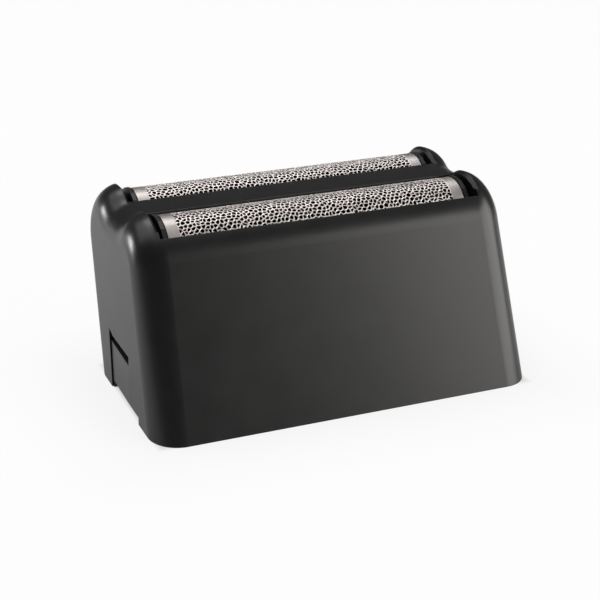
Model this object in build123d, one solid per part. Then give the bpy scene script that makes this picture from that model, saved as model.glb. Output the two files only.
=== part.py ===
"""Shaver foil head: a leaning moulded housing with two arched perforated foils on their own carriers."""
import os
from math import asin, atan2, cos, hypot, radians, sin, sqrt, tan

from build123d import *

# Housing, measured on the outside
base_length = 59.1
base_depth = 31.1
wall = 1.5
end_draft = 2.3
corner_radius = 4.5
inner_bevel = 2.0
cavity_bend = 30.0

# Foil deck: it stands behind the middle of the base, so the whole head leans back;
# the foils end a setback short of the base at both ends
deck_setback = 7.37
foil_pitch = 13.12
foil_axis_height = 23.06
foil_radius = 4.86
foil_thickness = 0.12
foil_setback = 6.55
foil_leg = 3.3

# Cheeks and the bar between the foils
dome_rise = 0.88
shoulder_radius = 8.0
valley_radius = 4.0
bar_drop = 0.62
bar_width = 6.0
bar_round = 0.15
stem_depth = 2.2
rear_lip_drop = 2.6
rim_bevel = 0.55

# Room round the foils: beside the bar, at the outer lips, round the nibs and past the ends of a carrier
bar_clearance = 0.3
lip_clearance = 0.45
nib_clearance = 0.22
end_slot = 0.85

# Perforated field of one foil, with one flat band for each row of holes
field_angle = 52.8
end_margin = 1.7
hole_columns = 15
hole_rows = 6
hole_width = 1.2

# Carriers
end_gap = 0.2
end_plate = 0.6
plate_proud = 0.15
seat_length = 1.4
seat_depth = 0.9
rail_width = 1.2
rail_height = 2.4
rail_below_leg = 0.6
nib_width = 2.4
nib_height = 1.0
nib_reach = 0.35
nib_land = 0.25
nib_count = 3
nib_spacing = 16.0
tongue_width = 3.6
tongue_thickness = 1.0
tongue_drop = 0.9
tongue_end_gap = 0.2

# Shelf above each tongue and the snap ridge below it
shelf_margin = 0.6
shelf_thickness = 1.0
shelf_gap = 0.2
snap_play = 0.1
snap_depth = 0.6
snap_height = 1.2

# Snap finger in each end wall, placed from the middle of the base
finger_height = 7.1
finger_front = -1.7
finger_rear = 6.6
finger_lean = 0.18
finger_slit = 0.4
finger_slot = 1.3
finger_bevel = 0.12
bevel_stop = 1.0
slit_rise = 0.7
slit_flare = 1.6
finger_recess = 0.2
finger_lift = 1.1
notch_front = -6.5
barb_depth = 0.8
barb_height = 1.8
barb_width = 4.6
barb_lift = 1.0
barb_land = 0.3

# Stops inside the skirt for the shaver's neck
socket_depth = 9.5
stop_width = 1.0
stop_reach = 2.6
stop_height = 7.0
stop_count = 3
stop_spacing = 17.0

# Heights and places that follow from the numbers above
overall_depth = base_depth / 2 + deck_setback + foil_pitch / 2 + shoulder_radius
base_middle = base_depth / 2 - overall_depth / 2
deck_middle = base_middle + deck_setback
front_axis = deck_middle - foil_pitch / 2
rear_axis = deck_middle + foil_pitch / 2
foil_axes = (front_axis, rear_axis)
foil_length = base_length - 2 * foil_setback
foil_inside = foil_radius - foil_thickness
crest_height = foil_axis_height + foil_radius
dome_radius = foil_radius + dome_rise
dome_height = foil_axis_height + dome_radius
bar_height = crest_height - bar_drop
bar_front = deck_middle - bar_width / 2
bar_rear = deck_middle + bar_width / 2
rear_lip_height = crest_height - rear_lip_drop
plate_start = foil_length / 2 + end_gap
carrier_half = plate_start + end_plate
window_half = carrier_half + end_slot
plate_radius = foil_radius + plate_proud
window_radius = plate_radius + bar_clearance
leg_bottom = foil_axis_height - foil_leg
carrier_bottom = leg_bottom - rail_below_leg
rail_top = carrier_bottom + rail_height
nib_bottom = (leg_bottom + rail_top - nib_height) / 2
nib_top = nib_bottom + nib_height
nib_places = [(i - (nib_count - 1) / 2) * nib_spacing for i in range(nib_count)]
stop_places = [(i - (stop_count - 1) / 2) * stop_spacing for i in range(stop_count)]
tongue_top = foil_axis_height - tongue_drop
tongue_bottom = tongue_top - tongue_thickness
draft_run = tan(radians(end_draft))
far = 3 * base_length


def end_inside(height):
    """Distance of the end wall's inner face from the middle, at a height."""
    return base_length / 2 - wall - draft_run * height


def tangent_point(start, centre, radius, side):
    """Point where a line from start touches a circle, on the side given by the sign."""
    dy = centre[0] - start[0]
    dz = centre[1] - start[1]
    distance = hypot(dy, dz)
    angle = atan2(dz, dy) + side * asin(radius / distance)
    reach = sqrt(distance**2 - radius**2)
    return (start[0] + reach * cos(angle), start[1] + reach * sin(angle))


def arc(centre, radius, first, last):
    """Shorter arc of a circle between two of its points."""
    turn_first = atan2(first[1] - centre[1], first[0] - centre[0])
    turn_last = atan2(last[1] - centre[1], last[0] - centre[0])
    middle = (turn_first + turn_last) / 2
    return ThreePointArc(first, (centre[0] + radius * cos(middle), centre[1] + radius * sin(middle)), last)


front_foot = (base_middle - base_depth / 2, 0.0)
rear_foot = (base_middle + base_depth / 2, 0.0)
front_shoulder = (front_axis, dome_height - shoulder_radius)
rear_shoulder = (rear_axis, dome_height - shoulder_radius)
front_touch = tangent_point(front_foot, front_shoulder, shoulder_radius, 1)
rear_touch = tangent_point(rear_foot, rear_shoulder, shoulder_radius, -1)
front_lean = (front_touch[0] - front_foot[0]) / front_touch[1]
rear_lean = (rear_touch[0] - rear_foot[0]) / rear_touch[1]


def head_section(bottom):
    """Cross-section of the head: leaning walls, two domes and the valley between them."""
    half_valley = sqrt(dome_radius**2 - (bar_height - foil_axis_height) ** 2)
    front_low = (front_foot[0] + front_lean * bottom, bottom)
    rear_low = (rear_foot[0] + rear_lean * bottom, bottom)
    front_crest = (front_axis, dome_height)
    rear_crest = (rear_axis, dome_height)
    valley_front = (front_axis + half_valley, bar_height)
    valley_rear = (rear_axis - half_valley, bar_height)
    outline = [
        Line(front_low, front_touch),
        arc(front_shoulder, shoulder_radius, front_touch, front_crest),
        arc((front_axis, foil_axis_height), dome_radius, front_crest, valley_front),
        Line(valley_front, valley_rear),
        arc((rear_axis, foil_axis_height), dome_radius, valley_rear, rear_crest),
        arc(rear_shoulder, shoulder_radius, rear_crest, rear_touch),
        Line(rear_touch, rear_low),
        Line(rear_low, front_low),
    ]
    section = make_face(outline)
    corners = section.vertices().filter_by(lambda v: abs(v.Y - bar_height) < 1e-4)
    return fillet(corners, valley_radius)


def rim_cut():
    """What is bevelled off the arched inner edge of a cheek, down to the lips and the bar."""
    end = window_half + rim_bevel
    inner = Plane.YZ.offset(window_half) * offset(head_section(0.0), -rim_bevel)
    kept = extrude(inner, amount=rim_bevel, taper=-45)
    above = span(window_half, end, -far, far, bar_height, far)
    above += span(window_half, end, rear_axis, far, rear_lip_height, far)
    return above - kept


def cavity_section(bottom):
    """Cross-section of the hollow: parallel to the walls, with straight facets under the domes."""
    reach = shoulder_radius - wall
    front_turn = atan2(1.0, front_lean)
    rear_turn = atan2(1.0, rear_lean)
    roof = bar_height - wall
    half_roof = sqrt(reach**2 - (roof - front_shoulder[1]) ** 2)
    front_knee = (front_axis - reach * sin(front_turn), front_shoulder[1] + reach * cos(front_turn))
    rear_knee = (rear_axis + reach * sin(rear_turn), rear_shoulder[1] - reach * cos(rear_turn))
    bend = radians(cavity_bend)
    rear_bend = (rear_axis + reach * cos(bend), rear_shoulder[1] + reach * sin(bend))
    front_low = (front_knee[0] + front_lean * (bottom - front_knee[1]), bottom)
    rear_low = (rear_knee[0] + rear_lean * (bottom - rear_knee[1]), bottom)
    front_roof = (front_axis - half_roof, roof)
    rear_roof = (rear_axis + half_roof, roof)
    return Polygon(front_low, front_knee, front_roof, rear_roof, rear_bend, rear_knee, rear_low, align=None)


def between_ends(section, inset, bottom):
    """Section run along the head and cut to the drafted end walls, moved in by the inset."""
    low = base_length / 2 - inset - draft_run * bottom
    high = base_length / 2 - inset - draft_run * far
    outline = Polygon((-low, bottom), (low, bottom), (high, far), (-high, far), align=None)
    bar = extrude(Plane.YZ * section, amount=base_length, both=True)
    return bar & extrude(Plane.XZ * outline, amount=far, both=True)


def end_edges(body, bottom):
    """Edges all round both end walls, apart from the lowest ones."""
    ends = body.faces().sort_by(Axis.X)
    edges = ends[0].edges() + ends[-1].edges()
    return edges.filter_by(lambda e: e.center().Z > bottom + 0.01)


def span(x_low, x_high, y_low, y_high, z_low, z_high):
    """Block given by its limits."""
    block = Box(x_high - x_low, y_high - y_low, z_high - z_low, align=(Align.MIN, Align.MIN, Align.MIN))
    return Pos(x_low, y_low, z_low) * block


def along(half, profile):
    """Cross-section run along the head to the same distance on both sides."""
    return extrude(Plane.YZ * profile, amount=half, both=True)


def both_ends(shape):
    """Shape and its mirror image at the other end."""
    return shape + mirror(shape, about=Plane.YZ)


def foil_profile(axis, radius, bottom):
    """Arch as a foil has it: flat bands under the holes, round flanks and straight legs."""
    flank = radians((90 + field_angle) / 2)
    turns = [radians(-field_angle + 2 * field_angle * i / hole_rows) for i in range(hole_rows + 1)]
    bands = [(axis + radius * sin(turn), foil_axis_height + radius * cos(turn)) for turn in turns]
    side = radius * sin(flank)
    rise = foil_axis_height + radius * cos(flank)
    front_spring = (axis - radius, foil_axis_height)
    rear_spring = (axis + radius, foil_axis_height)
    outline = [Line(first, last) for first, last in zip(bands, bands[1:])]
    outline += [
        ThreePointArc(bands[-1], (axis + side, rise), rear_spring),
        Polyline(rear_spring, (axis + radius, bottom), (axis - radius, bottom), front_spring),
        ThreePointArc(front_spring, (axis - side, rise), bands[0]),
    ]
    return make_face(outline)


def windows():
    """Room for the foils: open from above, and hollowed beside the bar to follow each arch."""
    room_bottom = carrier_bottom - bar_clearance
    lip = plate_radius + lip_clearance
    nib_room = foil_radius + nib_reach + nib_clearance
    cuts = span(-window_half, window_half, -far, far, bar_height, far)
    cuts += span(-window_half, window_half, front_axis - lip, bar_front, room_bottom, far)
    cuts += span(-window_half, window_half, bar_rear, rear_axis + lip, room_bottom, far)
    cuts += span(-window_half, window_half, bar_rear, far, rear_lip_height, far)
    for axis in foil_axes:
        hollow = Pos(axis, foil_axis_height) * Circle(window_radius)
        hollow += Pos(axis, (foil_axis_height + room_bottom) / 2) * Rectangle(
            2 * window_radius, foil_axis_height - room_bottom
        )
        cuts += along(window_half, hollow)
        room_top = nib_top + nib_clearance
        cuts += span(-window_half, window_half, axis - nib_room, axis + nib_room, room_bottom, room_top)
    return cuts + bar_rounding()


def bar_rounding():
    """What is taken off the long edges of the bar, which leaves a small step at each cheek."""
    inner = bar_width - 2 * bar_round
    middle = Pos(deck_middle, bar_height - bar_round / 2)
    crown = middle * (Rectangle(bar_width, bar_round) - Rectangle(inner, bar_round))
    for edge in (deck_middle - inner / 2, deck_middle + inner / 2):
        crown -= Pos(edge, bar_height - bar_round) * Circle(bar_round)
    return along(window_half, crown)


def carrier_catch(axis):
    """Shelf that stops a carrier's tongue from above, and the snap ridge that holds it from below."""
    half = tongue_width / 2 + shelf_margin
    root = end_inside(tongue_top) + wall / 2
    shelf_start = window_half + shelf_gap
    shelf_top = tongue_top + shelf_thickness
    shelf = span(shelf_start, root, axis - half, axis + half, tongue_top, shelf_top)
    snap_top = tongue_bottom - snap_play
    tip = end_inside(snap_top) - snap_depth
    ridge = Polygon((tip, snap_top), (root, snap_top), (root, snap_top - snap_height), align=None)
    return shelf + Pos(0, axis, 0) * extrude(Plane.XZ * ridge, amount=tongue_width / 2, both=True)


def neck_stops(outer):
    """Gussets on the long walls whose lower edges stop the shaver's neck."""
    front_skin = front_foot[0] + front_lean * socket_depth
    rear_skin = rear_foot[0] + rear_lean * socket_depth
    stop_top = socket_depth + stop_height
    stops = []
    for place in stop_places:
        low = place - stop_width / 2
        high = place + stop_width / 2
        front_edge = front_skin + wall + stop_reach
        rear_edge = rear_skin - wall - stop_reach
        stops.append(span(low, high, front_skin + wall / 2, front_edge, socket_depth, stop_top) & outer)
        stops.append(span(low, high, rear_edge, rear_edge + base_depth, socket_depth, stop_top) & outer)
    return stops


def finger_cut():
    """Slit, slot and raised edge that free a snap finger from the end wall on three sides."""
    slot_top = finger_height + finger_slot
    below = -1.0
    slit_foot = finger_rear + finger_lean * below
    slit_head = finger_rear + finger_lean * slot_top
    slit = Polygon(
        (slit_foot, below),
        (slit_foot + finger_slit, below),
        (slit_head + finger_slit, slot_top + slit_rise),
        (slit_head, slot_top),
        align=None,
    )
    corner = (Align.MIN, Align.MIN)
    slot = Pos(finger_front, finger_height) * Rectangle(slit_head - finger_front, finger_slot, align=corner)
    notch = Pos(notch_front, below) * Rectangle(finger_rear - notch_front, finger_lift - below, align=corner)
    start = Plane.YZ.offset(end_inside(slot_top) - wall / 2) * Pos(base_middle, 0)
    gaps = extrude(start * (slit + slot + notch), amount=3 * wall)
    blade = Polygon(
        (finger_front, 0),
        (finger_rear, 0),
        (slit_head + finger_slit, slot_top + slit_rise),
        (slit_head - slit_flare, slot_top),
        (finger_front, slot_top),
        align=None,
    )
    taper = Polygon(
        (0, finger_front),
        (wall, finger_front),
        (wall, slit_head),
        (-finger_recess, slit_head),
        align=None,
    )
    tilt = radians(end_draft)
    outward = (cos(tilt), 0, sin(tilt))
    upward = (-sin(tilt), 0, cos(tilt))
    face = Plane((base_length / 2, base_middle, 0), x_dir=outward, z_dir=upward)
    recess = extrude(face * taper, amount=2 * slot_top) & extrude(start * blade, amount=3 * wall)
    skin = end_inside(finger_height) + wall
    edge = Polygon(
        (skin - finger_bevel, finger_height),
        (skin + wall, finger_height - finger_bevel - wall),
        (skin + wall, finger_height),
        align=None,
    )
    edge_front = finger_front + bevel_stop
    middle = base_middle + (edge_front + slit_head) / 2
    bevel = Pos(0, middle, 0) * extrude(Plane.XZ * edge, amount=(slit_head - edge_front) / 2, both=True)
    return gaps + recess + bevel


def finger_barb():
    """Ridge on the inner face of a snap finger, sloped below so that the neck pushes it aside."""
    low = finger_lift + barb_lift
    high = low + barb_height
    face = end_inside(low)
    root = face + wall / 2
    tip = face - barb_depth
    ridge = Polygon((root, low), (face, low), (tip, high - barb_land), (tip, high), (root, high), align=None)
    middle = base_middle + (finger_front + finger_rear) / 2
    return Pos(0, middle, 0) * extrude(Plane.XZ * ridge, amount=barb_width / 2, both=True)


def housing():
    """Moulded shell with cheeks, bar, foil windows, carrier catches, neck stops and snap fingers."""
    below = -2 * wall
    block = between_ends(head_section(0.0), 0.0, 0.0)
    outer = fillet(end_edges(block, 0.0), corner_radius)
    core = between_ends(cavity_section(below), wall, below)
    shell = outer - chamfer(end_edges(core, below), inner_bevel)
    shell += span(-far, far, bar_front, bar_rear, foil_axis_height - stem_depth, bar_height) & outer
    shell -= windows()
    shell -= both_ends(rim_cut())
    for axis in foil_axes:
        shell += both_ends(carrier_catch(axis))
    for stop in neck_stops(outer):
        shell += stop
    shell -= both_ends(finger_cut())
    shell += both_ends(finger_barb())
    return shell


def foil(axis):
    """Thin arched sheet with a staggered field of six-sided holes and slotted legs."""
    section = foil_profile(axis, foil_radius, leg_bottom) - foil_profile(axis, foil_inside, leg_bottom - wall)
    sheet = along(foil_length / 2, section)
    row_step = 2 * field_angle / hole_rows
    column_step = (foil_length - 2 * end_margin) / (hole_columns + 0.5)
    punch = extrude(RegularPolygon(hole_width / 2, 6, major_radius=False), amount=foil_radius)
    holes = []
    for row in range(hole_rows):
        tilt = (row + 0.5) * row_step - field_angle
        first = end_margin - foil_length / 2 + 0.5 * column_step * (1 + row % 2)
        for column in range(hole_columns):
            turn = Pos(first + column * column_step, axis, foil_axis_height) * Rot(-tilt, 0, 0)
            holes.append(turn * Pos(0, 0, foil_inside / 2) * punch)
    sheet -= holes
    for place in nib_places:
        half = nib_width / 2
        sheet -= span(place - half, place + half, axis - far, axis + far, nib_bottom, nib_top)
    return sheet


def carrier(axis):
    """Frame under one foil: rails, arched seats, end plates, foil nibs and the tongues at its ends."""
    clear = foil_profile(axis, foil_radius + wall, carrier_bottom - wall)
    plates = along(carrier_half, foil_profile(axis, plate_radius, carrier_bottom)) - along(plate_start, clear)
    ring = foil_profile(axis, foil_inside, carrier_bottom)
    ring -= foil_profile(axis, foil_inside - seat_depth, carrier_bottom - wall)
    seats = along(plate_start, ring) - along(foil_length / 2 - seat_length, clear)
    frame = plates + seats
    for side in (-1, 1):
        root = axis + side * (foil_inside - rail_width / 2)
        rail = Box(2 * plate_start, rail_width, rail_height)
        frame += Pos(0, root, carrier_bottom + rail_height / 2) * rail
        face = axis + side * foil_radius
        tip = face + side * nib_reach
        nib = Polygon(
            (root, nib_bottom),
            (tip, nib_bottom),
            (tip, nib_bottom + nib_land),
            (face, nib_top),
            (root, nib_top),
            align=None,
        )
        for place in nib_places:
            frame += extrude(Plane.YZ.offset(place) * nib, amount=nib_width / 2, both=True)
    root = carrier_half - end_plate / 2
    tip = end_inside(tongue_top) - tongue_end_gap
    half = tongue_width / 2
    frame += both_ends(span(root, tip, axis - half, axis + half, tongue_bottom, tongue_top))
    return frame


pieces = {
    "housing": housing(),
    "front_foil": foil(front_axis),
    "rear_foil": foil(rear_axis),
    "front_carrier": carrier(front_axis),
    "rear_carrier": carrier(rear_axis),
}

os.makedirs("parts", exist_ok=True)
for name, solid in pieces.items():
    export_step(solid, os.path.join("parts", name + ".step"))
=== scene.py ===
"""Looks of the shaver foil head: perforated foils, moulded plastic, studio floor, light and camera."""
import math
import random

import bmesh
import bpy
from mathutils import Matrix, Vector


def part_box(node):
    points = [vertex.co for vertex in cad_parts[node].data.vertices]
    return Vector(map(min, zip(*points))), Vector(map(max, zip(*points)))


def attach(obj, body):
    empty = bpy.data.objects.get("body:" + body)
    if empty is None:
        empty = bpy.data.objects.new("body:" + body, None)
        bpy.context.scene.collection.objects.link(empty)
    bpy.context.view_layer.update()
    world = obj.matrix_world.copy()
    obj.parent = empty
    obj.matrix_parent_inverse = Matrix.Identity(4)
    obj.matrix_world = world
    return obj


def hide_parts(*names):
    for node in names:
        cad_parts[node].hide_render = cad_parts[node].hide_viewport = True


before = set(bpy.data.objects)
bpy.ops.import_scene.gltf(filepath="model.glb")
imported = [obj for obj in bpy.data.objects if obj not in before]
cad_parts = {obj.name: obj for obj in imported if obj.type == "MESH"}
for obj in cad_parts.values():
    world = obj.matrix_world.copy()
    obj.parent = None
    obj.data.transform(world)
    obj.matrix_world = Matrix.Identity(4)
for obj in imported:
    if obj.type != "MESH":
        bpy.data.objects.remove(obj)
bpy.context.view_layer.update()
scene = bpy.context.scene
MM = 0.001

# Perforated field of a foil, in millimetres; jitter and row shift are shares of the step between holes
END_MARGIN = 1.7
FIELD_ANGLE = math.radians(58)
HOLE_PITCH = 0.68
HOLE_JITTER = 0.38
ROW_SHIFT = 0.25
NEIGHBOUR_REACH = 3.2 * HOLE_PITCH
WEB = 0.15
CORNER_CUT = 0.25
HOLE_POINTS = 12
EDGE_STEP = HOLE_PITCH / 4
EDGE_SLACK = 1e-6
RIM_WIDTH = 0.03
SHOULDER_DROP = 0.008
RIM_DROP = 0.04
FIRST_SEED = 11

# Sheet of a foil, in millimetres, with the slots that the nibs of its carrier go through
FOIL_THICKNESS = 0.06
ARC_STEPS = 6
SHARP_ANGLE = math.radians(40)
NIB_WIDTH = 2.4
NIB_PLACES = (-16.0, 0.0, 16.0)
NIB_BOTTOM = 20.16
NIB_TOP = 21.16
SLOT_BAND = 1
POINTS_PER_MM = 2000
ON_BORDER = 1e-4

# Material slots of a foil
# Painted light: the webs take a steel painted lighter than the margins' steel.
WEB_SLOT = 0
# Painted shade: the back of the sheet and the walls of the holes take a steel painted near black, though
# the real foil is the same metal on both sides.
INSIDE_PAINTED_DARK_SLOT = 1
MARGIN_SLOT = 2

# Noise of the plastic, with scales for one metre
GRAIN_SCALE = 5200
GRAIN_DETAIL = 3
GRAIN_ROUGHNESS = 0.6
GRAIN_DEPTH = 0.02 * MM
BLOTCH_SCALE = 260
BLOTCH_DETAIL = 4
BLOTCH_DARK = 0.86
BLOTCH_LIGHT = 1.12
BLOTCH_SMOOTHER = 0.008
BLOTCH_ROUGHER = 0.014
NOISE_LOW = 0.3
NOISE_HIGH = 0.7

# Worn edges of the plastic: an edge is where the rounded normal leaves the true one
WEAR_RADIUS = 0.1 * MM
WEAR_SAMPLES = 6
WEAR_FULL = 0.8
WEAR_NONE = 0.985
WEAR_SHADE = 1.8
SCUFF_SCALE = 900
SCUFF_DETAIL = 3

# Level tops of the bar and the rear lip, which have a duller finish and a base colour painted lighter as
# painted light
MATT_BELOW = 27.5 * MM
MATT_SHINE = 0.03
TOP_PAINTED_LIGHT = 2.7
MATT_START = 0.97
MATT_FULL = 0.995
PLASTIC_SHINE = 0.5

# Lines and stains of the metal, with scales for one metre
LINE_STRETCH = (60.0, 6000.0, 6000.0)
LINE_SCALE = 1.0
LINE_DETAIL = 2
LINE_STRENGTH = 0.12
LINE_DEPTH = 0.01 * MM
STAIN_SCALE = 420
STAIN_DETAIL = 4
STAIN_ROUGHNESS = 0.05

# Floor: white to the eye, a little darker round the head as a painted shadow, and without its glow inside
# its skirt, where only the lamps light it
FLOOR_HALF = 4
FLOOR_COLOUR = (0.9, 0.9, 0.9, 1.0)
FLOOR_ROUGHNESS = 0.8
FLOOR_WHITE = 0.95
FLOOR_PAINTED_SHADOW = 0.84
FLOOR_MIRRORED = 0.2
SHADE_START = -2.0 * MM
SHADE_END = 16.0 * MM
FOOT_HEIGHT = 0.1 * MM

# Light
WORLD_COLOUR = (0.085, 0.085, 0.085, 1.0)
WHITE = (1.0, 1.0, 1.0)
WARM_WHITE = (1.0, 0.985, 0.95)
AIM_HEIGHT = 0.015

# Camera, with lengths in millimetres
CAMERA_AZIMUTH = math.radians(22.22)
CAMERA_ELEVATION = math.radians(24.69)
CAMERA_TARGET = (0.0, 4.18, 0.0)
CAMERA_DISTANCE = 232.73
CAMERA_LENS = 89.12
CAMERA_SENSOR = 36.0
CAMERA_SHIFT_X = 0.0096
CAMERA_SHIFT_Y = 0.09


def between(a, b, share):
    """Point at a share of the way from one point to another."""
    return (a[0] + share * (b[0] - a[0]), a[1] + share * (b[1] - a[1]))


def clip(polygon, point, normal):
    """Keeps the part of a convex polygon that lies behind the line through point, square to normal."""
    kept = []
    for a, b in zip(polygon, polygon[1:] + polygon[:1]):
        da = (a[0] - point[0]) * normal[0] + (a[1] - point[1]) * normal[1]
        db = (b[0] - point[0]) * normal[0] + (b[1] - point[1]) * normal[1]
        if da <= 0:
            kept.append(a)
        if (da < 0 < db) or (db < 0 < da):
            kept.append(between(a, b, da / (da - db)))
    return kept


def jittered_seeds(half_x, half_s, rng):
    """Staggered grid of hole centres over the field, each moved a little at random."""
    rows = max(2, round(2 * half_s / (HOLE_PITCH * math.sqrt(3) / 2)))
    columns = max(2, round(2 * half_x / HOLE_PITCH))
    row_step = 2 * half_s / rows
    column_step = 2 * half_x / columns
    seeds = []
    for row in range(rows):
        shift = ROW_SHIFT if row % 2 else -ROW_SHIFT
        for column in range(columns):
            x = (column + 0.5 + shift + rng.uniform(-HOLE_JITTER, HOLE_JITTER)) * column_step - half_x
            s = (row + 0.5 + rng.uniform(-HOLE_JITTER, HOLE_JITTER)) * row_step - half_s
            seeds.append((x, s))
    return seeds


def rectangle(half_x, half_s):
    return [(-half_x, -half_s), (half_x, -half_s), (half_x, half_s), (-half_x, half_s)]


def cell_and_hole(index, seeds, half_x, half_s):
    """Voronoi cell of a hole centre inside the field, and the same cell drawn in by half a web."""
    x, s = seeds[index]
    inset = WEB / 2
    cell = rectangle(half_x, half_s)
    hole = rectangle(half_x - inset, half_s - inset)
    for other, (other_x, other_s) in enumerate(seeds):
        dx = other_x - x
        ds = other_s - s
        distance = math.hypot(dx, ds)
        if other == index or distance > NEIGHBOUR_REACH:
            continue
        normal = (dx / distance, ds / distance)
        middle = ((x + other_x) / 2, (s + other_s) / 2)
        cell = clip(cell, middle, normal)
        hole = clip(hole, (middle[0] - inset * normal[0], middle[1] - inset * normal[1]), normal)
    return cell, hole


def divided(polygon, longest):
    """Corners of a polygon and the points that divide its edges into equal parts of a length at most."""
    points = []
    for a, b in zip(polygon, polygon[1:] + polygon[:1]):
        parts = max(1, math.ceil(math.dist(a, b) / longest - EDGE_SLACK))
        points += [between(a, b, k / parts) for k in range(parts)]
    return points


def rounded_loop(polygon, count):
    """Closed loop of evenly spaced points on the polygon with its corners cut off."""
    near = 1 - CORNER_CUT
    far = CORNER_CUT
    points = []
    for a, b in zip(polygon, polygon[1:] + polygon[:1]):
        points.append((near * a[0] + far * b[0], near * a[1] + far * b[1]))
        points.append((far * a[0] + near * b[0], far * a[1] + near * b[1]))
    lengths = [math.dist(a, b) for a, b in zip(points, points[1:] + points[:1])]
    step = sum(lengths) / count
    loop = []
    walked = 0.0
    for a, b, length in zip(points, points[1:] + points[:1], lengths):
        while len(loop) * step <= walked + length and len(loop) < count:
            loop.append(between(a, b, (len(loop) * step - walked) / length if length else 0.0))
        walked += length
    return loop


def middle_of(points):
    return (sum(p[0] for p in points) / len(points), sum(p[1] for p in points) / len(points))


def moved_out(points, centre, distance):
    """Loop moved outwards from its centre by a distance."""
    moved = []
    for p in points:
        d = math.dist(p, centre)
        moved.append(between(centre, p, (d + distance) / d))
    return moved


class Sheet:
    """Mesh of a thin arched sheet, built flat in (x, s) with a drop below the outer face."""

    def __init__(self):
        self.points = []
        self.index = {}
        self.webs = []
        self.backs = []
        self.plain = []

    def point(self, p, drop=0.0):
        """Number of a point, which is shared with a point that lies in the same spot."""
        key = tuple(round(value * POINTS_PER_MM) for value in (p[0], p[1], drop))
        for dx in (0, -1, 1):
            for ds in (0, -1, 1):
                near = (key[0] + dx, key[1] + ds, key[2])
                if near in self.index:
                    return self.index[near]
        self.index[key] = len(self.points)
        self.points.append((p[0], p[1], drop))
        return self.index[key]

    def face(self, faces, corners):
        """Adds a face to a list of faces, without doubled corners."""
        clean = list(dict.fromkeys(corners))
        if len(clean) > 2:
            faces.append(clean)

    def strip(self, row, next_row):
        """Plain faces between two rows of points."""
        for corners in zip(row, row[1:], next_row[1:], next_row):
            self.face(self.plain, corners)

    def bridge(self, faces, outer, inner, centre):
        """Triangles between two loops of point numbers round the same centre."""
        def turn(i):
            return math.atan2(self.points[i][1] - centre[1], self.points[i][0] - centre[0])
        outer = sorted(outer, key=turn)
        inner = sorted(inner, key=turn)
        i = j = 0
        while i < len(outer) or j < len(inner):
            a = outer[i % len(outer)]
            b = inner[j % len(inner)]
            next_a = outer[(i + 1) % len(outer)]
            next_b = inner[(j + 1) % len(inner)]
            lead_a = turn(next_a) + (2 * math.pi if i + 1 >= len(outer) else 0.0)
            lead_b = turn(next_b) + (2 * math.pi if j + 1 >= len(inner) else 0.0)
            if j >= len(inner) or (i < len(outer) and lead_a <= lead_b):
                self.face(faces, [a, next_a, b])
                i += 1
            else:
                self.face(faces, [a, next_b, b])
                j += 1

    def holed_cell(self, cell, hole):
        """Web round one hole, its back and the rim of the hole; gives the points of the cell's outline."""
        centre = middle_of(hole)
        loop = rounded_loop(hole, HOLE_POINTS)
        outline = list(dict.fromkeys(self.point(p) for p in divided(cell, EDGE_STEP)))
        shoulder = [self.point(p, SHOULDER_DROP) for p in moved_out(loop, centre, RIM_WIDTH)]
        rim = [self.point(p, RIM_DROP) for p in loop]
        self.bridge(self.webs, outline, shoulder, centre)
        self.bridge(self.backs, outline, rim, centre)
        for i in range(HOLE_POINTS):
            j = (i + 1) % HOLE_POINTS
            self.face(self.webs, [shoulder[i], shoulder[j], rim[j], rim[i]])
        return outline

    def leg(self, side, row, levels, half_length):
        """Straight leg under a row of points, with a slot for each nib of the carrier."""
        cuts = [-half_length]
        for place in NIB_PLACES:
            cuts += [place - NIB_WIDTH / 2, place + NIB_WIDTH / 2]
        cuts.append(half_length)
        for column, (x_low, x_high) in enumerate(zip(cuts, cuts[1:])):
            for band, (s_low, s_high) in enumerate(zip(levels, levels[1:])):
                if column % 2 == 1 and band == SLOT_BAND:
                    continue
                top = [i for i in row if x_low < self.points[i][0] < x_high] if band == 0 else []
                first = self.point((x_low, side * s_low))
                last = self.point((x_high, side * s_low))
                corners = [first] + top + [last]
                corners += [self.point((x_high, side * s_high)), self.point((x_low, side * s_high))]
                self.face(self.plain, corners)


def perforated_sheet(half_length, half_s, levels, rng):
    """Flat pattern of one foil: holes, plain margins, round flanks and slotted legs."""
    sheet = Sheet()
    half_x = half_length - END_MARGIN
    spring = levels[0]
    seeds = jittered_seeds(half_x, half_s, rng)
    ends = {-1: set(), 1: set()}
    flanks = {-1: set(), 1: set()}
    for index in range(len(seeds)):
        for i in sheet.holed_cell(*cell_and_hole(index, seeds, half_x, half_s)):
            x, s, _ = sheet.points[i]
            for side in (-1, 1):
                if abs(x - side * half_x) < ON_BORDER:
                    ends[side].add(i)
                if abs(s - side * half_s) < ON_BORDER:
                    flanks[side].add(i)
    for side in (-1, 1):
        border = sorted(ends[side], key=lambda i: sheet.points[i][1])
        sheet.strip(border, [sheet.point((side * half_length, sheet.points[i][1])) for i in border])
        columns = sorted(flanks[side], key=lambda i: sheet.points[i][0])
        places = [-half_length] + [sheet.points[i][0] for i in columns] + [half_length]
        row = [sheet.point((x, side * half_s)) for x in places]
        for step in range(1, ARC_STEPS + 1):
            s = half_s + (spring - half_s) * step / ARC_STEPS
            below = [sheet.point((x, side * s)) for x in places]
            sheet.strip(row, below)
            row = below
        sheet.leg(side, row, levels, half_length)
    return sheet


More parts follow.
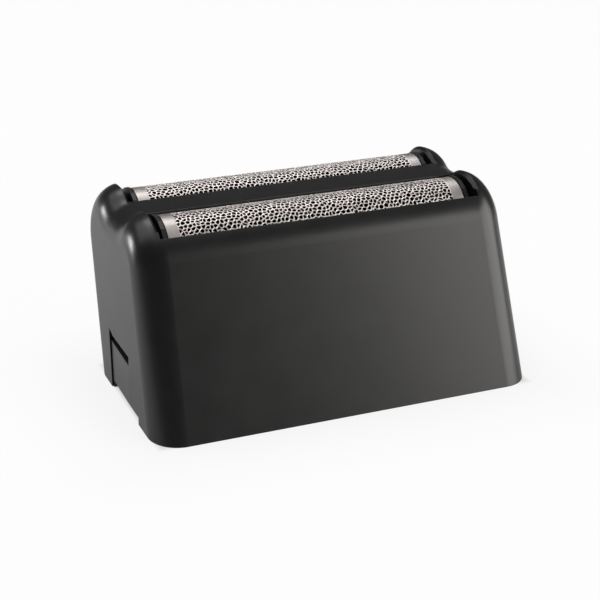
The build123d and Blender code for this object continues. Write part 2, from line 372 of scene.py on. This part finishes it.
def foil_piece(node, seed):
    """Foil with its whole field of irregular holes, in the place and size of its solid."""
    low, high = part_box(node)
    axis = (low.y + high.y) / 2 / MM
    radius = (high.y - low.y) / 2 / MM
    centre_z = high.z / MM - radius
    half_length = (high.x - low.x) / 2 / MM
    spring = radius * math.pi / 2
    foot = spring + centre_z
    levels = [spring, foot - NIB_TOP, foot - NIB_BOTTOM, foot - low.z / MM]
    sheet = perforated_sheet(half_length, radius * FIELD_ANGLE, levels, random.Random(seed))

    def place(x, s, depth):
        """Where a point of the flat pattern lies in the head, at a depth below the outer face."""
        reach = radius - depth
        if abs(s) <= spring:
            turn = s / radius
            return Vector((x, axis + reach * math.sin(turn), centre_z + reach * math.cos(turn))) * MM
        side = -1 if s < 0 else 1
        return Vector((x, axis + side * reach, centre_z - (abs(s) - spring))) * MM

    def facing_out(corners):
        """Corners in the order that turns the face to the outside."""
        points = [sheet.points[i] for i in corners]
        area = sum(a[0] * b[1] - b[0] * a[1] for a, b in zip(points, points[1:] + points[:1]))
        return corners if area > 0 else corners[::-1]

    mesh = bmesh.new()
    outside = [mesh.verts.new(place(*point)) for point in sheet.points]
    inside = {}
    for i in sorted({i for corners in sheet.backs + sheet.plain for i in corners}):
        x, s, _ = sheet.points[i]
        inside[i] = mesh.verts.new(place(x, s, FOIL_THICKNESS))
    edges = set()
    margins = [facing_out(corners) for corners in sheet.plain]
    for faces, slot in ((sheet.webs, WEB_SLOT), (margins, MARGIN_SLOT)):
        for corners in faces:
            mesh.faces.new([outside[i] for i in corners]).material_index = slot
            edges.update(zip(corners, corners[1:] + corners[:1]))
    for corners in sheet.backs + margins:
        mesh.faces.new([inside[i] for i in reversed(corners)]).material_index = INSIDE_PAINTED_DARK_SLOT
    for a, b in sorted(edges):
        if (b, a) not in edges:
            wall = [outside[b], outside[a], inside[a], inside[b]]
            mesh.faces.new(wall).material_index = INSIDE_PAINTED_DARK_SLOT
    for face in mesh.faces:
        face.smooth = True
    data = bpy.data.meshes.new(node + "_perforated")
    mesh.normal_update()
    mesh.to_mesh(data)
    mesh.free()
    piece = bpy.data.objects.new(node + "_perforated", data)
    scene.collection.objects.link(piece)
    data.set_sharp_from_angle(angle=SHARP_ANGLE)
    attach(piece, "root")
    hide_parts(node)
    return piece


def new_material(name):
    """Node material, with its nodes, its links and its main shader."""
    material = bpy.data.materials.new(name)
    material.use_nodes = True
    nodes = material.node_tree.nodes
    links = material.node_tree.links
    return material, nodes, links, nodes["Principled BSDF"]


def noise_node(nodes, links, vector, scale, detail, roughness=0.5):
    node = nodes.new("ShaderNodeTexNoise")
    node.inputs["Scale"].default_value = scale
    node.inputs["Detail"].default_value = detail
    node.inputs["Roughness"].default_value = roughness
    links.new(vector, node.inputs["Vector"])
    return node.outputs["Fac"]


def ramp_node(nodes, links, factor, stops):
    node = nodes.new("ShaderNodeValToRGB")
    ramp = node.color_ramp
    while len(ramp.elements) < len(stops):
        ramp.elements.new(0.5)
    for element, (place, colour) in zip(ramp.elements, stops):
        element.position = place
        element.color = (*colour, 1.0)
    links.new(factor, node.inputs["Fac"])
    return node.outputs["Color"]


def maths(nodes, links, operation, first, second):
    """Maths node on two sockets, or on a socket and a number."""
    node = nodes.new("ShaderNodeMath")
    node.operation = operation
    links.new(first, node.inputs[0])
    if isinstance(second, float):
        node.inputs[1].default_value = second
    else:
        links.new(second, node.inputs[1])
    return node.outputs["Value"]


def vector_maths(nodes, links, operation, first, second=(0.0, 0.0, 0.0)):
    node = nodes.new("ShaderNodeVectorMath")
    node.operation = operation
    links.new(first, node.inputs[0])
    node.inputs[1].default_value = second
    return node.outputs


def tinted(nodes, links, factor, colour, tint):
    """Colour mixed with a fixed one."""
    node = nodes.new("ShaderNodeMix")
    node.data_type = "RGBA"
    links.new(factor, node.inputs["Factor"])
    links.new(colour, node.inputs["A"])
    node.inputs["B"].default_value = (*tint, 1.0)
    return node.outputs["Result"]


def bump_node(nodes, links, height, strength, depth):
    node = nodes.new("ShaderNodeBump")
    node.inputs["Strength"].default_value = strength
    node.inputs["Distance"].default_value = depth
    links.new(height, node.inputs["Height"])
    return node


def axis_of(nodes, links, vector, axis):
    """One axis of a vector."""
    node = nodes.new("ShaderNodeSeparateXYZ")
    links.new(vector, node.inputs["Vector"])
    return node.outputs[axis]


def grey(value):
    return (value, value, value)


def shaded(colour, factor):
    return tuple(factor * value for value in colour)


def flat_top(nodes, links, geometry):
    """Mask of the level faces below the crests of the domes, which get a duller finish and painted light.
    """
    upright = axis_of(nodes, links, geometry["Normal"], "Z")
    height = axis_of(nodes, links, geometry["Position"], "Z")
    level = ramp_node(nodes, links, upright, [(MATT_START, grey(0.0)), (MATT_FULL, grey(1.0))])
    below = maths(nodes, links, "LESS_THAN", height, MATT_BELOW)
    return maths(nodes, links, "MULTIPLY", level, below)


def plastic_material(name, base, rough, grain_strength):
    """Satin black moulded plastic: fine grain, soft blotches, edges worn lighter and dull level tops with
    a colour painted lighter as painted light.
    """
    material, nodes, links, shader = new_material(name)
    coordinates = nodes.new("ShaderNodeTexCoord").outputs["Object"]
    geometry = nodes.new("ShaderNodeNewGeometry").outputs
    grain = noise_node(nodes, links, coordinates, GRAIN_SCALE, GRAIN_DETAIL, GRAIN_ROUGHNESS)
    blotch = noise_node(nodes, links, coordinates, BLOTCH_SCALE, BLOTCH_DETAIL)
    shades = [(NOISE_LOW, shaded(base, BLOTCH_DARK)), (NOISE_HIGH, shaded(base, BLOTCH_LIGHT))]
    colour = ramp_node(nodes, links, blotch, shades)
    polish = [(NOISE_LOW, grey(rough - BLOTCH_SMOOTHER)), (NOISE_HIGH, grey(rough + BLOTCH_ROUGHER))]
    links.new(ramp_node(nodes, links, blotch, polish), shader.inputs["Roughness"])

    bevel = nodes.new("ShaderNodeBevel")
    bevel.samples = WEAR_SAMPLES
    bevel.inputs["Radius"].default_value = WEAR_RADIUS
    dot = nodes.new("ShaderNodeVectorMath")
    dot.operation = "DOT_PRODUCT"
    links.new(bevel.outputs["Normal"], dot.inputs[0])
    links.new(geometry["Normal"], dot.inputs[1])
    stops = [(WEAR_FULL, grey(1.0)), (WEAR_NONE, grey(0.0))]
    wear = ramp_node(nodes, links, dot.outputs["Value"], stops)
    scuff = noise_node(nodes, links, coordinates, SCUFF_SCALE, SCUFF_DETAIL)
    worn = maths(nodes, links, "MULTIPLY", wear, scuff)
    colour = tinted(nodes, links, worn, colour, shaded(base, WEAR_SHADE))

    # Painted light: the level tops get a base colour painted several times lighter, besides their weaker
    # shine.
    dull_and_painted_light_top = flat_top(nodes, links, geometry)
    colour = tinted(nodes, links, dull_and_painted_light_top, colour, shaded(base, TOP_PAINTED_LIGHT))
    links.new(colour, shader.inputs["Base Color"])
    shine = ramp_node(nodes, links, dull_and_painted_light_top, [(0.0, grey(PLASTIC_SHINE)), (1.0, grey(MATT_SHINE))])
    links.new(shine, shader.inputs["Specular IOR Level"])

    bump = bump_node(nodes, links, grain, grain_strength, GRAIN_DEPTH)
    links.new(bevel.outputs["Normal"], bump.inputs["Normal"])
    links.new(bump.outputs["Normal"], shader.inputs["Normal"])
    return material


def steel_material(name, dark, light, rough):
    """Electroformed foil: warm silver, drawn lengthwise lines and faint stains."""
    material, nodes, links, shader = new_material(name)
    coordinates = nodes.new("ShaderNodeTexCoord").outputs["Object"]
    stretch = nodes.new("ShaderNodeMapping")
    stretch.inputs["Scale"].default_value = LINE_STRETCH
    links.new(coordinates, stretch.inputs["Vector"])
    lines = noise_node(nodes, links, stretch.outputs["Vector"], LINE_SCALE, LINE_DETAIL)
    stains = noise_node(nodes, links, coordinates, STAIN_SCALE, STAIN_DETAIL)
    colour = ramp_node(nodes, links, stains, [(NOISE_LOW, dark), (NOISE_HIGH, light)])
    links.new(colour, shader.inputs["Base Color"])
    polish = [(NOISE_LOW, grey(rough - STAIN_ROUGHNESS)), (NOISE_HIGH, grey(rough + STAIN_ROUGHNESS))]
    links.new(ramp_node(nodes, links, stains, polish), shader.inputs["Roughness"])
    shader.inputs["Metallic"].default_value = 1.0
    bump = bump_node(nodes, links, lines, LINE_STRENGTH, LINE_DEPTH)
    links.new(bump.outputs["Normal"], shader.inputs["Normal"])
    return material


def footprint(node):
    """Middle and half size of the rectangle that a node stands on."""
    foot = [v.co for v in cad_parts[node].data.vertices if v.co.z < FOOT_HEIGHT]
    low = Vector((min(p.x for p in foot), min(p.y for p in foot), 0.0))
    high = Vector((max(p.x for p in foot), max(p.y for p in foot), 0.0))
    return (low + high) / 2, (high - low) / 2


def distance_from_foot(nodes, links):
    """Distance of a floor point from the edge of the housing's footprint, negative inside it."""
    centre, half = footprint("housing")
    position = nodes.new("ShaderNodeNewGeometry").outputs["Position"]
    offset = vector_maths(nodes, links, "SUBTRACT", position, centre)["Vector"]
    folded = vector_maths(nodes, links, "ABSOLUTE", offset)["Vector"]
    past = vector_maths(nodes, links, "SUBTRACT", folded, half)["Vector"]
    outside = vector_maths(nodes, links, "MAXIMUM", past)["Vector"]
    outside = vector_maths(nodes, links, "LENGTH", outside)["Value"]
    past_x = axis_of(nodes, links, past, "X")
    past_y = axis_of(nodes, links, past, "Y")
    inside = maths(nodes, links, "MAXIMUM", past_x, past_y)
    inside = maths(nodes, links, "MINIMUM", inside, 0.0)
    return maths(nodes, links, "ADD", outside, inside)


def floor_material():
    """Pale paper that is white to the camera and pale grey in reflections, with a painted shadow round the
    head's foot and no glow under the head.
    """
    material, nodes, links, shader = new_material("floor_white")
    shader.inputs["Base Color"].default_value = FLOOR_COLOUR
    shader.inputs["Roughness"].default_value = FLOOR_ROUGHNESS
    shader.inputs["Specular IOR Level"].default_value = 0.0
    path = nodes.new("ShaderNodeLightPath").outputs
    mirrored = maths(nodes, links, "MAXIMUM", path["Is Glossy Ray"], path["Is Transmission Ray"])
    mirrored = maths(nodes, links, "MULTIPLY", mirrored, FLOOR_MIRRORED)
    seen = maths(nodes, links, "MAXIMUM", path["Is Camera Ray"], mirrored)
    reach = nodes.new("ShaderNodeMapRange")
    reach.inputs["From Min"].default_value = SHADE_START
    reach.inputs["From Max"].default_value = SHADE_END
    links.new(distance_from_foot(nodes, links), reach.inputs["Value"])
    # Painted shadow: the floor's glow is dimmed round the edge of the head's footprint; inside the
    # footprint the glow is off and only the lamps light the floor.
    edge = -SHADE_START / (SHADE_END - SHADE_START)
    stops = [(0.0, grey(0.0)), (edge, grey(FLOOR_PAINTED_SHADOW)), (1.0, grey(FLOOR_WHITE))]
    painted_shadow = ramp_node(nodes, links, reach.outputs["Result"], stops)
    white = nodes.new("ShaderNodeEmission")
    paper = nodes.new("ShaderNodeMixShader")
    links.new(maths(nodes, links, "MULTIPLY", painted_shadow, seen), paper.inputs["Fac"])
    links.new(shader.outputs["BSDF"], paper.inputs[1])
    links.new(white.outputs["Emission"], paper.inputs[2])
    links.new(paper.outputs["Shader"], nodes["Material Output"].inputs["Surface"])
    return material


def dress(piece, *materials):
    """Gives a piece its materials and keeps the slot of each face."""
    slots = piece.data.materials
    for number, material in enumerate(materials):
        if number < len(slots):
            slots[number] = material
        else:
            slots.append(material)


def around(azimuth, elevation, distance):
    """Place seen from the object: azimuth 0 is straight in front and 90 is to the right."""
    turn = math.radians(azimuth)
    rise = math.radians(elevation)
    return (
        distance * math.sin(turn) * math.cos(rise),
        -distance * math.cos(turn) * math.cos(rise),
        distance * math.sin(rise) + AIM_HEIGHT,
    )


def softbox(name, place, width, height, power, colour=WHITE):
    """Rectangular lamp that faces the object."""
    data = bpy.data.lights.new(name, "AREA")
    data.color = colour
    data.shape = "RECTANGLE"
    data.size = width
    data.size_y = height
    data.energy = power
    lamp = bpy.data.objects.new(name, data)
    lamp.location = place
    lamp.rotation_mode = "QUATERNION"
    aim = Vector((0.0, 0.0, AIM_HEIGHT))
    lamp.rotation_quaternion = (aim - Vector(place)).to_track_quat("-Z", "Y")
    scene.collection.objects.link(lamp)


# Pieces
housing_plastic = plastic_material(
    "housing_plastic", base=(0.011, 0.0108, 0.011), rough=0.29, grain_strength=0.10
)
carrier_plastic = plastic_material(
    "carrier_plastic", base=(0.010, 0.010, 0.0105), rough=0.34, grain_strength=0.06
)
# Painted light: the perforated field's steel is painted much lighter than the margins' steel, to stand for
# the light its webs catch.
foil_steel = steel_material(
    "foil_steel", dark=(0.90, 0.83, 0.805), light=(0.97, 0.905, 0.88), rough=0.45
)
foil_margin = steel_material(
    "foil_margin", dark=(0.58, 0.53, 0.515), light=(0.68, 0.63, 0.61), rough=0.42
)
# Painted shade: near-black steel for the inside of the foil and the walls of its holes, so that the holes
# look dark.
foil_inside_painted_dark = steel_material(
    "foil_inside_painted_dark", dark=(0.030, 0.028, 0.026), light=(0.05, 0.047, 0.044), rough=0.55
)
dress(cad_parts["housing"], housing_plastic)
for name in ("front_carrier", "rear_carrier"):
    dress(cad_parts[name], carrier_plastic)
for number, name in enumerate(("front_foil", "rear_foil")):
    dress(foil_piece(name, FIRST_SEED + number), foil_steel, foil_inside_painted_dark, foil_margin)

# Floor
floor_mesh = bpy.data.meshes.new("floor")
floor_corners = [(x, y, 0) for x, y in rectangle(FLOOR_HALF, FLOOR_HALF)]
floor_mesh.from_pydata(floor_corners, [], [(0, 1, 2, 3)])
floor = bpy.data.objects.new("floor", floor_mesh)
scene.collection.objects.link(floor)
dress(floor, floor_material())

# Light, with places and sizes in metres and power in watts
world = bpy.data.worlds.new("studio")
world.use_nodes = True
world.node_tree.nodes["Background"].inputs["Color"].default_value = WORLD_COLOUR
scene.world = world
softbox("right_box", around(55, 15, 0.5), width=0.5, height=0.38, power=2.45, colour=WARM_WHITE)
softbox("spot_box", around(-130, 6, 0.45), width=0.09, height=0.09, power=0.48)
softbox("left_box", around(-125, 55, 0.5), width=0.4, height=0.4, power=0.6)
softbox("back_box", around(170, 60, 0.6), width=0.5, height=0.2, power=0.8)
softbox("top_box", (0.0, 0.0, 0.6), width=0.5, height=0.5, power=0.5)

# Camera
target = Vector(CAMERA_TARGET) * MM
back = Vector(
    (
        -math.sin(CAMERA_AZIMUTH) * math.cos(CAMERA_ELEVATION),
        -math.cos(CAMERA_AZIMUTH) * math.cos(CAMERA_ELEVATION),
        math.sin(CAMERA_ELEVATION),
    )
)
camera_data = bpy.data.cameras.new("camera")
camera_data.sensor_width = CAMERA_SENSOR
camera_data.lens = CAMERA_LENS
camera_data.shift_x = CAMERA_SHIFT_X
camera_data.shift_y = CAMERA_SHIFT_Y
camera_data.clip_start = 0.01
camera_data.clip_end = 20.0
camera = bpy.data.objects.new("camera", camera_data)
camera.location = target + back * CAMERA_DISTANCE * MM
camera.rotation_mode = "QUATERNION"
camera.rotation_quaternion = (-back).to_track_quat("-Z", "Y")
scene.collection.objects.link(camera)
scene.camera = camera

scene.view_settings.view_transform = "Standard"
